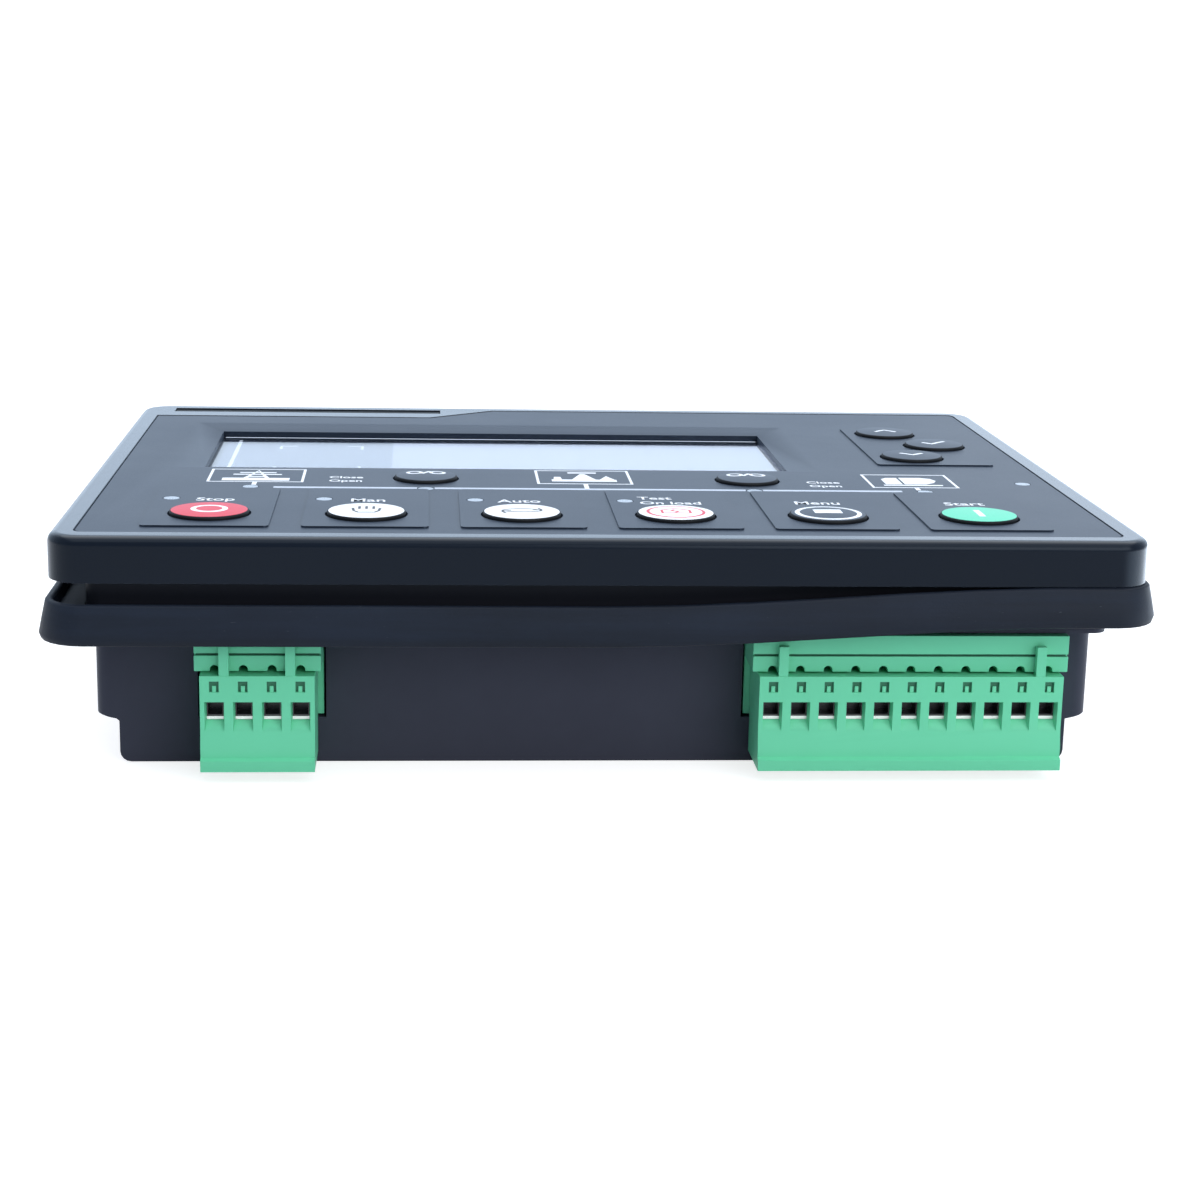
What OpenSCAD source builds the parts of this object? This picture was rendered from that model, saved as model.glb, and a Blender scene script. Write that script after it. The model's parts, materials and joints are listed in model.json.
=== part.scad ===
// Genset controller lying on its back: a bezel with keys and a display, a rear housing,
// a loose panel gasket and two rows of pluggable terminals.
// Millimetres. +Z points out of the front face, and the terminals face -Y.
// The origin is the centre of the rear face that the controller rests on.

/* [Bezel] */
// Width of the bezel
bezel_w = 197; // [193:1:230]
// Height of the bezel, from the key edge to the display edge
bezel_d = 152; // [150:1:180]
// Thickness of the bezel, from the panel to the front face
bezel_h = 8.3; // [8:0.1:12]
// Corner radius of the bezel seen from the front
bezel_r = 6.5; // [4:0.5:10]
// Fillet round the front edge of the bezel
bezel_fillet = 1.8; // [0.6:0.2:2.4]
// Wall of the bezel's rim
bezel_wall = 2.6; // [1.6:0.2:3]
// Deck under the overlay
deck_t = 1.8; // [1.4:0.1:2.2]
// Border of the bezel round the overlay
border_w = 4.5; // [3:0.5:5]
// Depth of the pocket that holds the overlay
pocket_depth = 1; // [0.9:0.1:1.4]

/* [Housing] */
// Depth behind the panel, from the rim of the bezel to the rear face
body_h = 37; // [36:0.5:60]
// How far the bezel laps over the panel, on each side
panel_lap = 5.5; // [4:0.5:8]
// Width of the panel cut-out
cutout_w = bezel_w - 2 * panel_lap;
// Height of the panel cut-out
cutout_d = bezel_d - 2 * panel_lap;
// Clearance of the collar in the panel cut-out, on each side
cutout_gap = 0.5; // [0.2:0.1:0.8]
// Length of the collar behind the panel
collar_h = 10; // [8:0.5:12]
// Set-back of the box from the cut-out at each short side
side_set = 0.7; // [0.5:0.1:4]
// Set-back of the box from the cut-out at each long side
edge_set = 9.5; // [8.5:0.1:10.5]
// Set-back of the rear tier at each short side
tier_set = 4.2; // [3:0.1:6]
// Width of the box behind the collar
housing_w = cutout_w - 2 * side_set;
// Height of the box behind the collar
housing_d = cutout_d - 2 * edge_set;
// Width of the rear tier of the box
tier_w = housing_w - 2 * tier_set;
// Depth of the rear tier of the box
tier_h = 9; // [7:0.1:11]
// Wall of the housing
wall = 2; // [1.4:0.1:2.4]
// Corner radius of the housing
housing_r = 3; // [1:0.5:5]
// Radius along the rear edges of the box
rear_r = 2; // [0.5:0.5:3]

/* [Gasket] */
// Gap that the loose gasket leaves under the bezel at its slack end
gasket_droop = 3.7; // [0:0.1:4]
// Length at the tight end that lies against the bezel
gasket_grip = 13.5; // [8:0.5:30]
// Height of the outer skirt
skirt_h = 7.2; // [5:0.1:8]
// How far the skirt flares out beyond the bezel
skirt_flare = 2; // [1:0.1:4]
// Height of the lip that runs round the collar
lip_h = 6.2; // [4.5:0.1:8]
// Thickness of the rubber
rubber_t = 1.6; // [1:0.1:2]

/* [Overlay and display] */
// Thickness of the overlay
overlay_t = 0.9; // [0.6:0.1:1.2]
// Step of the raised tiles under the keys
tile_step = 0.3; // [0.2:0.05:0.8]
// Width of a key tile
tile_w = 22.8; // [20:0.2:26]
// Length of a key tile
tile_d = 36.5; // [30:0.5:38]
// Width of the display window
window_w = 120.5; // [80:0.5:122]
// Height of the display window
window_d = 45; // [30:0.5:46]
// Width of the sloped edge round the display window
slope_w = 6; // [3:0.5:6]
// Depth of the sloped edge
slope_depth = 1; // [0.4:0.1:1.2]
// Thickness of the clear display window
lens_t = 1.5; // [1:0.1:1.6]

/* [Keys] */
// Diameter of the keys in the front row
key_d = 14.5; // [10:0.5:16]
// From the side of the overlay to the first and last keys of the front row
key_side_set = 22.75; // [20:0.25:24]
// Diameter of the two breaker keys
breaker_key_d = 12.5; // [10:0.5:13]
// Diameter of the menu keys beside the display
nav_key_d = 13; // [10:0.5:13.5]
// How far a key stands above the surface round it
key_proud = 0.85; // [0.4:0.05:1.5]
// Travel of a key
key_travel = 0.8; // [0.3:0.05:1]
// Clearance round a key
key_gap = 0.35; // [0.2:0.05:0.6]

/* [Terminals] */
// Pole spacing of the terminals
pitch = 5.08; // [5:0.01:5.12]
// Poles of the left-hand plug
left_poles = 4; // [2:1:8]
// Centre of the left-hand plug
left_x = -62.1; // [-66:0.1:-50]
// Poles of the right-hand plug
right_poles = 11; // [2:1:11]
// From the right-hand side of the box to the centre of the right-hand plug
right_set = 36.4; // [36:0.1:52]
// Centre of the right-hand plug
right_x = housing_w / 2 - right_set;
// How far the plugs stand out from the wall of the box
plug_reach = 12.2; // [11.8:0.1:16]
// Height of a plug
plug_h = 17.4; // [17:0.1:18.5]
// Width of a wire entry
entry_w = 3; // [2.4:0.1:3.4]
// Height of a wire entry
entry_h = 3.7; // [3:0.1:4]

/* [Hidden] */

$fn = 48;
hull_fn = 32;
small_fn = 24;
// Overshoot of a cut past the face that it opens
past = 1;
// Thickness of a slice that a hull spans
slice = 0.01;
// Clearance between pieces that are fitted and stay put
fit = 0.15;
// Clearance between pieces that slide past each other
slide_gap = 0.4;

// Colours
case_black = [0.09, 0.10, 0.12];
overlay_black = [0.12, 0.13, 0.16];
rubber_black = [0.06, 0.06, 0.07];
inlay_black = [0.03, 0.03, 0.04];
key_white = [0.90, 0.91, 0.93];
key_red = [0.80, 0.10, 0.14];
key_green = [0.15, 0.65, 0.45];
key_dark = [0.13, 0.14, 0.17];
terminal_green = [0.20, 0.62, 0.42];
board_green = [0.05, 0.28, 0.16];
tin = [0.75, 0.75, 0.76];
gold = [0.83, 0.66, 0.30];
clear = [0.85, 0.90, 0.95, 0.4];
glass_pale = [0.80, 0.85, 0.90];
relay_blue = [0.10, 0.22, 0.45];
sleeve_black = [0.15, 0.15, 0.20];
trafo_yellow = [0.80, 0.70, 0.30];

// Levels from the rear face up
z_rim = body_h;
z_face = z_rim + bezel_h;
z_pocket = z_face - pocket_depth;
z_deck = z_pocket - deck_t;
z_overlay = z_pocket + overlay_t;
z_tile = z_overlay + tile_step;
z_slope = z_overlay - slope_depth;
z_ledge = z_rim - collar_h;

// Bezel, overlay and inlay
fillet_steps = 6;
rim_gap = 0.3;
rim_in_w = bezel_w - 2 * bezel_wall;
rim_in_d = bezel_d - 2 * bezel_wall;
overlay_x = bezel_w / 2 - border_w;
overlay_y = bezel_d / 2 - border_w;
overlay_r = 2;
strip_d = 11;
strip_len = 62.6;
strip_end = strip_len - overlay_x;
strip_slant = 15.9;
strip_y = overlay_y - strip_d;
inlay_w = 61.7;
inlay_d = 5;
inlay_t = 0.5;
inlay_depth = 0.8;
inlay_over = 2.4;
inlay_set = 7.3;
inlay_x = strip_end + inlay_over - inlay_w / 2;
inlay_y = bezel_d / 2 - inlay_set;

// Display stack, from the window down to the board
window_x = -17.25;
window_set = 49.5;
window_y = overlay_y - window_set;
slope_out_w = window_w + 2 * slope_w;
slope_out_d = window_d + 2 * slope_w;
frame_rim = 0.6;
frame_w = slope_out_w + 2 * frame_rim;
frame_d = slope_out_d + 2 * frame_rim;
lens_seat = 1.2;
lens_lap = 1.5;
lens_w = window_w + 2 * lens_lap;
lens_d = window_d + 2 * lens_lap;
z_lens = z_slope - lens_seat - lens_t;
lcd_gap = 0.1;
lcd_t = 1.1;
lcd_side_lap = 2;
lcd_end_lap = 1.5;
lcd_w = window_w + 2 * lcd_side_lap;
lcd_d = window_d + 2 * lcd_end_lap;
lcd_rim = 2;
z_lcd = z_lens - lcd_gap;

// Gasket: a channel under the rim of the bezel, with a skirt outside and a lip round the collar
gasket_fit = 0.3;
gasket_top_gap = 0.05;
skirt_out = 0.8;
skirt_r = 1.2;
skirt_mid = 0.75;
web_drop = 2.2;
rubber_r = 0.4;
z_lip = z_rim - gasket_top_gap - gasket_droop - lip_h;

// Key board and keys
board_t = 1.6;
key_flange_t = 0.8;
key_flange = 1.2;
key_stem_d = 6;
key_seat_gap = 0.15;
pad_t = 0.1;
pad_d = 5;
stem_h = 1.5;
z_flange = z_deck - key_seat_gap - key_flange_t;
z_stem = z_flange - stem_h;
z_key_board = z_stem - key_travel - key_seat_gap - pad_t;
key_edge_r = 0.45;
key_dome = 0.2;
dome_share = 0.75;
edge_steps = 4;
key_row_x = -0.4;
key_row_set = 16.5;
key_row_y = key_row_set - overlay_y;
key_count = 6;
// Spacing of the keys in the front row
key_pitch = 2 * (overlay_x - key_side_set) / (key_count - 1);
tile_lift = 6.75;
tile_y = key_row_y + tile_lift;
breaker_x = 32.3;
breaker_drop = 39.1;
breaker_y = window_y - breaker_drop;
nav_set = 19;
nav_lift = 3;
nav_tile_x = overlay_x - nav_set;
nav_tile_y = window_y + nav_lift;
nav_tile_w = 24.8;
nav_tile_d = 47.3;
nav_offsets = [[-3.5, 15.3], [4.5, -0.3], [-3.5, -15.1]];
nav_spots = [for (p = nav_offsets) [nav_tile_x, nav_tile_y] + p];
tile_r = 1;
light_d = 3;
light_flange = 0.7;
light_flange_t = 0.6;
led_h = 0.8;
led_w = 2.4;
led_d = 1.6;

function row_key(i) = [key_row_x + (i - (key_count - 1) / 2) * key_pitch, key_row_y];
tile_light = [-8.3, 14];
tile_lights = [for (i = [0:3]) row_key(i) + tile_light];
mains_light = [-66.3, -10];
gen_light = [66.4, -11];
alarm_light = [-5.6, -1.6];
breaker_light_drop = 11;
free_lights = [
    [0, breaker_y] + mains_light,
    [0, breaker_y] + gen_light,
    [overlay_x, breaker_y] + alarm_light,
    [-breaker_x, breaker_y - breaker_light_drop],
    [breaker_x, breaker_y - breaker_light_drop]
];

// Housing fittings
collar_w = cutout_w - 2 * cutout_gap;
collar_d = cutout_d - 2 * cutout_gap;
flange_t = 1.6;
step_drop = 0.9;
floor_t = 2;
inner_r = 0.3;
board_clear = 0.5;
key_board_w = collar_w - 2 * wall - 2 * board_clear;
key_board_d = collar_d - 2 * wall - 2 * board_clear;
main_board_w = housing_w - 2 * wall - 2 * board_clear;
main_board_d = housing_d - 2 * wall - 2 * board_clear;
board_drop = 11;
z_board = z_rim - board_drop;
z_board_top = z_board + board_t;
column_d = 10;
boss_d = 7.2;
case_screw_d = 3;
case_head_d = 5.6;
case_head_h = 2.2;
case_head_sink = 0.6;
column_gap = 4;
z_column = z_rim - column_gap;
screw_hold = 1.5;
column_side_set = 10.5;
column_front_set = 13.5;
column_back_set = 6;
column_x = housing_w / 2 - column_side_set;
column_front_y = column_front_set - housing_d / 2;
column_back_y = housing_d / 2 - column_back_set;
column_spots = [for (x = [-column_x, column_x], y = [column_front_y, column_back_y]) [x, y]];
key_post_d = 6.5;
key_screw_d = 2;
key_head_d = 3.8;
key_head_h = 1.4;
key_post_front_set = 9.5;
key_post_back_set = 12;
key_post_y = [key_post_front_set - collar_d / 2, collar_d / 2 - key_post_back_set];
key_post_spots = [for (k = [-1:1], y = key_post_y) [key_row_x + k * 2 * key_pitch, y]];
post_d = 7;
post_screw_d = 2.5;
post_head_d = 4.6;
post_head_h = 1.7;
post_hold = 8;
post_x = 62;
post_front_y = -36;
post_back_y = 42;
post_spots = [for (x = [-post_x, post_x], y = [post_front_y, post_back_y]) [x, y]];
hook_len = 8;
hook_y = 48;
hook_h = 4;
hook_out = 3.4;
hook_taper = 0.7;

// Terminals: levels hang from the main board, and depths run out from the wall of the box
plug_back_gap = 0.6;
plug_drop = 6.4;
header_w_extra = 2.2;
header_depth = 14.3;
header_front_set = 1.9;
header_lip_gap = 0.25;
shroud_len = 10;
shroud_t = 1.2;
header_back_t = 3.2;
end_wall = 1.3;
notch_r = 0.8;
notch_lift = 0.3;
notch_len = 8;
groove_w = 0.4;
groove_depth = 0.8;
groove_drop = 3.1;
pin_w = 1;
pin_hole = 1.1;
pin_tip = 1;
wall_y = -housing_d / 2;
plug_y = wall_y - plug_reach;
header_y = plug_y + header_front_set;
header_back_y = header_y + header_depth;
z_plug_top = z_board - plug_drop;
z_plug = z_plug_top - plug_h;
z_base = z_plug_top + slide_gap;
entry_drop = 8.5;
z_entry = z_plug_top - entry_drop;
pin_lift = 1.15;
nose_drop = 9.1;
z_pin = z_entry + entry_h / 2 + pin_lift;
z_nose = z_plug_top - nose_drop;
z_shroud = z_nose - slide_gap - shroud_t;
nose_y = header_back_y - header_back_t - slide_gap;
shroud_y = header_back_y - shroud_len;
header_split_y = -collar_d / 2;
z_header_front = z_lip - header_lip_gap;
pin_set = 0.3;
pin_y = shroud_y + pin_set;
pin_leg_y = header_back_y + pin_set;
cage_front = 1.9;
mouth_w = 3.5;
cage_y = plug_y + cage_front + fit;
cage_w = 3.8;
cage_len = 4;
cage_wall = 0.6;
cage_roof = 0.8;
cage_top_z = z_entry + entry_h + cage_roof;
cage_floor = 0.4;
cage_bottom_z = z_entry - cage_floor;
clamp_lip = 0.9;
leaf_w = 2.4;
leaf_t = 0.4;
leaf_gap = 0.15;
leaf_set = 1.2;
leaf_end = nose_y - leaf_set;
lip_drop = 15.4;
lip_out = 1.4;
lip_step = 0.9;
belly_drop = 13.4;
belly_out = 0.6;
band_drop = 10.3;
mark_w = 1.7;
mark_h = 2;
mark_drop = 1;
mark_depth = 0.8;
bump_w = 0.7;
bump_h = 1.1;
bump_t = 0.5;
screw_y = cage_y + cage_len / 2;
wire_screw_d = 2.6;
wire_head_d = 3.8;
wire_head_h = 2.2;
wire_head_sink = 0.8;
latch_w = 1.75;
latch_t = 1.4;
latch_in = 1.75;
latch_rise = 5.5;
z_latch = z_plug_top + latch_rise;

// Components on the main board
relay_size = [19, 15.5, 15.8];
relay_pitch = 21;
relay_count = 5;
relay_y = -36;
part_r = 1;
trafo_size = [17, 14, 14];
trafo_pitch = 21;
trafo_spot = [-42, -9];
cap_d = 12.5;
cap_h = 20;
cap_pitch = 16;
cap_spot = [38, 0];
chip_t = 1.7;
chips = [[0, 12, 14, 14], [-32, 10, 10, 10], [30, 10, 9, 9], [-32, -14, 8, 6], [30, -14, 8, 6]];
link_poles = 8;
link_pitch = 2.54;
link_spot = [0, 46];
link_end = 0.4;
link_w = (link_poles + link_end) * link_pitch;
link_d = 5;
link_base = 2.5;
link_pin = 0.64;
link_hole = 0.9;
link_reach = 4;

// Rounded rectangle about the origin
module rounded_rect(w, d, r) {
    square([w - 2 * r, d], center = true);
    square([w, d - 2 * r], center = true);
    for (x = [-1, 1], y = [-1, 1])
        translate([x * (w / 2 - r), y * (d / 2 - r)]) circle(r);
}

// Plate from z0 to z1 with rounded corners
module plate(w, d, r, z0, z1) {
    translate([0, 0, z0]) linear_extrude(z1 - z0) rounded_rect(w, d, r);
}

// Block from z0 to z1, centred at a spot
module block(spot, w, d, z0, z1) {
    translate([spot[0] - w / 2, spot[1] - d / 2, z0]) cube([w, d, z1 - z0]);
}

// Rod from z0 to z1 at a spot
module rod(spot, d, z0, z1, fn = small_fn) {
    translate([spot[0], spot[1], z0]) cylinder(d = d, h = z1 - z0, $fn = fn);
}

// Plate with a filleted upper edge
module soft_plate(w, d, r, f, z0, z1) {
    hull() {
        plate(w, d, r, z0, z1 - f, $fn = hull_fn);
        for (a = [90 / fillet_steps : 90 / fillet_steps : 90]) {
            inset = f * (1 - cos(a));
            top = z1 - f + f * sin(a);
            plate(w - 2 * inset, d - 2 * inset, r - inset, top - slice, top, $fn = hull_fn);
        }
    }
}

// Outline of the overlay: the front field less the strip that carries the inlay
module overlay_outline(gap) {
    difference() {
        rounded_rect(2 * (overlay_x - gap), 2 * (overlay_y - gap), overlay_r);
        translate([gap, -gap])
            polygon([
                [-overlay_x - past, strip_y],
                [strip_end, strip_y],
                [strip_end + strip_slant, overlay_y + past],
                [-overlay_x - past, overlay_y + past]
            ]);
    }
}

// Every key as [spot, diameter, level of the surface round it]
keys = concat(
    [for (i = [0 : key_count - 1]) [row_key(i), key_d, z_tile]],
    [for (s = [-1, 1]) [[s * breaker_x, breaker_y], breaker_key_d, z_overlay]],
    [for (p = nav_spots) [p, nav_key_d, z_tile]]
);

module key_holes(z0, z1) {
    for (k = keys) rod(k[0], k[1] + 2 * key_gap, z0, z1, $fn);
}

module light_holes(z0, z1) {
    for (p = concat(tile_lights, free_lights)) rod(p, light_d + 2 * fit, z0, z1);
}

// Room for the frame of the overlay, which goes down through the deck
module frame_pocket() {
    block([window_x, window_y], frame_w + 2 * fit, frame_d + 2 * fit, z_lens - past, z_face + past);
}

module bezel() {
    color(case_black) {
        difference() {
            soft_plate(bezel_w, bezel_d, bezel_r, bezel_fillet, z_rim, z_face);
            translate([0, 0, z_pocket]) linear_extrude(pocket_depth + past) overlay_outline(0);
            plate(rim_in_w, rim_in_d, bezel_r - bezel_wall, z_rim - past, z_deck);
            frame_pocket();
            key_holes(z_deck - past, z_face + past);
            light_holes(z_deck - past, z_face + past);
            block([inlay_x, inlay_y], inlay_w, inlay_d, z_face - inlay_depth, z_face + past);
        }
        for (p = key_post_spots) difference() {
            rod(p, key_post_d, z_key_board, z_deck);
            rod(p, key_screw_d, z_key_board - past, z_deck - deck_t / 2);
        }
        for (p = column_spots) difference() {
            rod(p, boss_d, z_column, z_deck);
            rod(p, case_screw_d, z_column - past, z_deck - screw_hold);
            frame_pocket();
        }
    }
}

module nameplate_inlay() {
    color(inlay_black)
        block([inlay_x, inlay_y], inlay_w - 2 * fit, inlay_d - 2 * fit,
              z_face - inlay_depth, z_face - inlay_depth + inlay_t);
}

module tiles() {
    for (i = [0 : key_count - 1])
        translate([row_key(i)[0], tile_y]) plate(tile_w, tile_d, tile_r, z_pocket, z_tile);
    translate([nav_tile_x, nav_tile_y]) plate(nav_tile_w, nav_tile_d, tile_r, z_pocket, z_tile);
}

// Sloped recess that leads down to the display window
module display_slope() {
    translate([window_x, window_y]) hull() {
        block([0, 0], slope_out_w, slope_out_d, z_overlay, z_overlay + slice);
        block([0, 0], window_w, window_d, z_slope, z_slope + slice);
    }
}

module front_overlay() {
    color(overlay_black) difference() {
        union() {
            translate([0, 0, z_pocket]) linear_extrude(overlay_t) overlay_outline(rim_gap);
            tiles();
            block([window_x, window_y], frame_w, frame_d, z_lens, z_overlay);
        }
        display_slope();
        block([window_x, window_y], window_w, window_d, z_lens - past, z_overlay + past);
        block([window_x, window_y], lens_w + 2 * fit, lens_d + 2 * fit, z_lens - past, z_lens + lens_t);
        key_holes(z_deck - past, z_tile + past);
        light_holes(z_deck - past, z_tile + past);
    }
}

module display_window() {
    color(clear) block([window_x, window_y], lens_w, lens_d, z_lens, z_lens + lens_t);
}

module lcd_glass() {
    color(glass_pale) block([window_x, window_y], lcd_w, lcd_d, z_lcd - lcd_t, z_lcd);
}

module lcd_frame() {
    color(tin) difference() {
        block([window_x, window_y], lcd_w + 2 * lcd_rim, lcd_d + 2 * lcd_rim, z_key_board, z_lcd);
        block([window_x, window_y], lcd_w + 2 * fit, lcd_d + 2 * fit, z_lcd - lcd_t, z_lcd + past);
    }
}

// One key: a domed cap, a flange that stops under the deck and a stem over its contact
module key_cap(i) {
    k = keys[i];
    r = k[1] / 2;
    top = k[2] + key_proud - key_dome;
    edge = [for (n = [0 : edge_steps]) let (a = 90 * n / edge_steps)
        [r - key_edge_r + key_edge_r * cos(a), top - key_edge_r + key_edge_r * sin(a)]];
    translate([k[0][0], k[0][1]]) rotate_extrude($fn = $fn)
        polygon(concat(
            [[0, z_stem], [key_stem_d / 2, z_stem], [key_stem_d / 2, z_flange]],
            [[r + key_flange, z_flange], [r + key_flange, z_flange + key_flange_t]],
            [[r, z_flange + key_flange_t]],
            edge,
            [[r / 2, top + key_dome * dome_share], [0, top + key_dome]]
        ));
}

module key_stop() { color(key_red) key_cap(0); }
module key_manual() { color(key_white) key_cap(1); }
module key_auto() { color(key_white) key_cap(2); }
module key_test() { color(key_white) key_cap(3); }
module key_menu() { color(key_dark) key_cap(4); }
module key_start() { color(key_green) key_cap(5); }
module key_mains_breaker() { color(key_dark) key_cap(6); }
module key_gen_breaker() { color(key_dark) key_cap(7); }
module key_up() { color(key_dark) key_cap(8); }
module key_confirm() { color(key_dark) key_cap(9); }
module key_down() { color(key_dark) key_cap(10); }

module light_pipe(spot, top) {
    bottom = z_key_board + led_h + lcd_gap;
    flange_z = z_deck - key_seat_gap - light_flange_t;
    rod(spot, light_d, bottom, top);
    rod(spot, light_d + 2 * light_flange, flange_z, flange_z + light_flange_t);
}

module light_pipes() {
    color(clear) {
        for (p = tile_lights) light_pipe(p, z_tile);
        for (p = free_lights) light_pipe(p, z_overlay);
    }
}

module status_leds() {
    color(key_white)
        for (p = concat(tile_lights, free_lights)) block(p, led_w, led_d, z_key_board, z_key_board + led_h);
}

module contact_pads() {
    color(gold) for (k = keys) rod(k[0], pad_d, z_key_board, z_key_board + pad_t);
}

module key_board() {
    color(board_green) difference() {
        plate(key_board_w, key_board_d, housing_r, z_key_board - board_t, z_key_board);
        for (p = key_post_spots)
            rod(p, key_screw_d + 2 * fit, z_key_board - board_t - past, z_key_board + past);
        for (p = column_spots)
            rod(p, boss_d + 2 * board_clear, z_key_board - board_t - past, z_key_board + past);
    }
}

module key_board_screws() {
    color(tin) for (p = key_post_spots) {
        rod(p, key_head_d, z_key_board - board_t - key_head_h, z_key_board - board_t);
        rod(p, key_screw_d, z_key_board - board_t, z_deck - deck_t / 2);
    }
}

// Closed path round a rounded rectangle: an arc at each corner and a divided run between corners
arc_steps = 6;
run_steps = 14;
function corner(k, w, d, r) = [(k == 0 || k == 3 ? 1 : -1) * (w / 2 - r), (k < 2 ? 1 : -1) * (d / 2 - r)];
function arc_point(k, a, w, d, r) = corner(k, w, d, r) + r * [cos(90 * k + a), sin(90 * k + a)];
function run_point(k, t, w, d, r) =
    (1 - t) * arc_point(k, 90, w, d, r) + t * arc_point((k + 1) % 4, 0, w, d, r);
function ring(w, d, r) = [for (k = [0:3]) each concat(
    [for (i = [0 : arc_steps]) arc_point(k, 90 * i / arc_steps, w, d, r)],
    [for (i = [1 : run_steps - 1]) run_point(k, i / run_steps, w, d, r)])];

// How far the gasket hangs below the bezel: tight at +X, slack from the middle to -X
tight_x = bezel_w / 2 - gasket_grip;
function ease(t) = t * t * (3 - 2 * t);
function droop(x) = gasket_droop * ease(min(1, max(0, 1 - x / tight_x)));

// Section of the gasket: [share of the way from collar to bezel edge, offset outwards, height]
wall_in = skirt_out - rubber_t;
gasket_section = [
    [0, gasket_fit, -web_drop], [1, wall_in, -web_drop],
    [1, wall_in, -rubber_r], [1, wall_in + rubber_r, 0],
    [1, skirt_out - rubber_r, 0], [1, skirt_out, -rubber_r],
    [1, skirt_flare * skirt_mid, -skirt_h / 2], [1, skirt_flare, -skirt_h + skirt_r],
    [1, skirt_flare - rubber_r, -skirt_h], [1, skirt_flare - rubber_t, -skirt_h],
    [1, wall_in, -web_drop - rubber_t], [0, gasket_fit + rubber_t, -web_drop - rubber_t],
    [0, gasket_fit + rubber_t, -lip_h], [0, gasket_fit, -lip_h]
];

function gasket_ring(s) =
    let (w = collar_w + s[0] * (bezel_w - collar_w) + 2 * s[1],
         d = collar_d + s[0] * (bezel_d - collar_d) + 2 * s[1],
         r = housing_r + s[0] * (bezel_r - housing_r) + s[1])
    [for (p = ring(w, d, r)) [p[0], p[1], z_rim - gasket_top_gap - droop(p[0]) + s[2]]];

module panel_gasket() {
    rings = [for (s = gasket_section) gasket_ring(s)];
    n = len(rings[0]);
    m = len(rings);
    points = [for (r = rings) each r];
    faces = [for (j = [0 : m - 1], i = [0 : n - 1])
        let (here = j * n, next = ((j + 1) % m) * n, k = (i + 1) % n)
        each [[here + i, here + k, next + k], [here + i, next + k, next + i]]];
    color(rubber_black) polyhedron(points, faces);
}

// Section of the box across its width, inset by t: two tiers with a sloped step and round rear edges
module box_section(t) {
    r = max(inner_r, rear_r - t);
    half = tier_w / 2 - t;
    right = concat(
        [for (n = [0 : edge_steps]) let (a = -90 + 90 * n / edge_steps)
            [half - r + r * cos(a), t + r + r * sin(a)]],
        [[half, tier_h - step_drop], [housing_w / 2 - t, tier_h], [housing_w / 2 - t, z_rim]]
    );
    left = [for (n = [len(right) - 1 : -1 : 0]) [-right[n][0], right[n][1]]];
    polygon(concat(right, left));
}

// The box inset by t, up to the level z1
module box(t, z1) {
    intersection() {
        translate([0, housing_d / 2 - t, 0])
            rotate([90, 0, 0]) linear_extrude(housing_d - 2 * t) box_section(t);
        plate(housing_w - 2 * t, housing_d - 2 * t, housing_r, -past, z1);
    }
}

// Catch under the step of the box, for a panel clip
module clip_hook(side, y) {
    translate([side * (tier_w / 2 - wall / 2), y + hook_len / 2, tier_h - step_drop])
        rotate([90, 0, 0]) linear_extrude(hook_len)
            polygon([[0, step_drop / 2], [side * (hook_out + wall / 2), step_drop / 2],
                     [side * (hook_out * hook_taper + wall / 2), -hook_h / 2],
                     [side * wall / 2, -hook_h], [0, -hook_h]]);
}

module header_window(poles, x) {
    w = poles * pitch + header_w_extra + 2 * slide_gap;
    translate([x - w / 2, wall_y - past, z_shroud - slide_gap])
        cube([w, wall + 2 * past, z_board - z_shroud + 2 * slide_gap]);
}

module rear_housing() {
    color(case_black) difference() {
        union() {
            difference() {
                union() {
                    box(0, z_ledge);
                    plate(collar_w, collar_d, housing_r, z_ledge, z_rim);
                    plate(rim_in_w - 2 * rim_gap, rim_in_d - 2 * rim_gap, bezel_r - bezel_wall - rim_gap,
                          z_rim, z_rim + flange_t);
                }
                translate([0, 0, floor_t - wall]) box(wall, z_ledge + wall + past);
                plate(collar_w - 2 * wall, collar_d - 2 * wall, housing_r,
                      z_ledge + wall, z_rim + flange_t + past);
                header_window(left_poles, left_x);
                header_window(right_poles, right_x);
            }
            for (p = column_spots) rod(p, column_d, floor_t / 2, z_column);
            for (p = post_spots) rod(p, post_d, floor_t / 2, z_board);
            for (s = [-1, 1], y = [-hook_y, hook_y]) clip_hook(s, y);
        }
        for (p = column_spots) {
            rod(p, case_screw_d + 2 * fit, -past, z_column + past);
            rod(p, case_head_d + 2 * fit, -past, case_head_sink + case_head_h);
        }
        for (p = post_spots) rod(p, post_screw_d, z_board - post_hold, z_board + past);
    }
}

module case_screws() {
    color(tin) for (p = column_spots) {
        rod(p, case_head_d, case_head_sink, case_head_sink + case_head_h);
        rod(p, case_screw_d, case_head_sink + case_head_h, z_deck - screw_hold);
    }
}

// Poles of a plug as x places
function pole_x(poles, x) = [for (i = [0 : poles - 1]) x + (i - (poles - 1) / 2) * pitch];

module main_board() {
    color(board_green) difference() {
        plate(main_board_w, main_board_d, housing_r, z_board, z_board_top);
        for (p = column_spots) rod(p, column_d + 2 * board_clear, z_board - past, z_board_top + past);
        for (p = post_spots) rod(p, post_screw_d + 2 * fit, z_board - past, z_board_top + past);
        for (x = concat(pole_x(left_poles, left_x), pole_x(right_poles, right_x)))
            rod([x, pin_leg_y + pin_w / 2], pin_w * sqrt(2) + 2 * fit, z_board - past, z_board_top + past);
    }
}

module board_screws() {
    color(tin) for (p = post_spots) {
        rod(p, post_head_d, z_board_top, z_board_top + post_head_h);
        rod(p, post_screw_d, z_board - post_hold, z_board_top);
    }
}

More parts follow.
